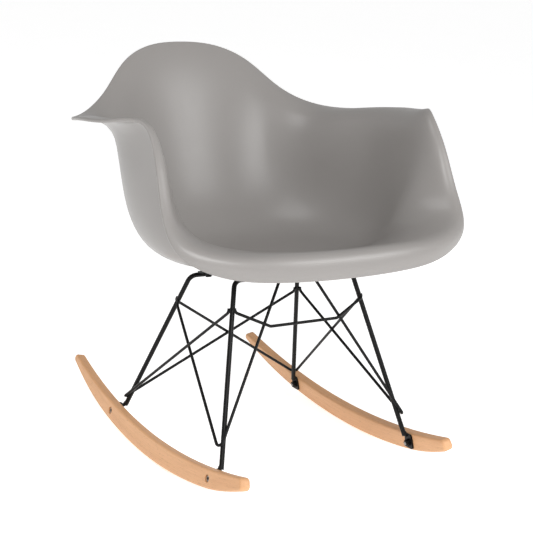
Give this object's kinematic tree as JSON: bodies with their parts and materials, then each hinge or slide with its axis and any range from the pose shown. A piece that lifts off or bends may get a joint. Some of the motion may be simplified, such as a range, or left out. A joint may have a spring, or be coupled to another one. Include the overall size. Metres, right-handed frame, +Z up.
{
  "type": "rocking chair",
  "caption": "Moulded grey bucket armchair on a black welded wire base with curved beech rockers; it leans back a little at rest.",
  "frame": {"origin": "on the floor, under the middle of the chair's width and length, with the chair at rest", "axes": "+Z up, the seat faces -Y, +X towards the sitter's left; the chair is mirror-symmetric across X=0 except where two struts cross behind the seat"},
  "size_m": [0.629, 0.641, 0.6568],
  "materials": {
    "shell_plastic": "satin moulded plastic, warm mid grey",
    "beech": "clear satin oil on fine straight-grained beech",
    "black_steel": "satin black powder coat",
    "zinc_steel": "dull zinc plate",
    "black_rubber": "matt",
    "brass": "plain"
  },
  "bodies": {
    "root": {"front_crossbar": "black_steel", "front_left_foot_plate": "black_steel", "front_left_mount_plate": "black_steel", "front_left_spacer": "black_rubber", "front_leg_frame": "black_steel", "front_right_foot_plate": "black_steel", "front_right_mount_plate": "black_steel", "front_right_spacer": "black_rubber", "left_rear_strut": "black_steel", "left_rocker": "beech", "left_side_strut": "black_steel", "left_top_rail": "black_steel", "rear_left_foot_plate": "black_steel", "rear_left_mount_plate": "black_steel", "rear_left_spacer": "black_rubber", "rear_leg_frame": "black_steel", "rear_right_foot_plate": "black_steel", "rear_right_mount_plate": "black_steel", "rear_right_spacer": "black_rubber", "right_rear_strut": "black_steel", "right_rocker": "beech", "right_side_strut": "black_steel", "right_top_rail": "black_steel", "rocker_bolts": "zinc_steel", "rocker_nuts": "black_steel", "rocker_washers": "black_steel", "seat_shell": "shell_plastic", "shell_bolts": "black_steel", "shell_inserts": "brass", "shell_washers": "black_steel"}
  },
  "joints": []
}
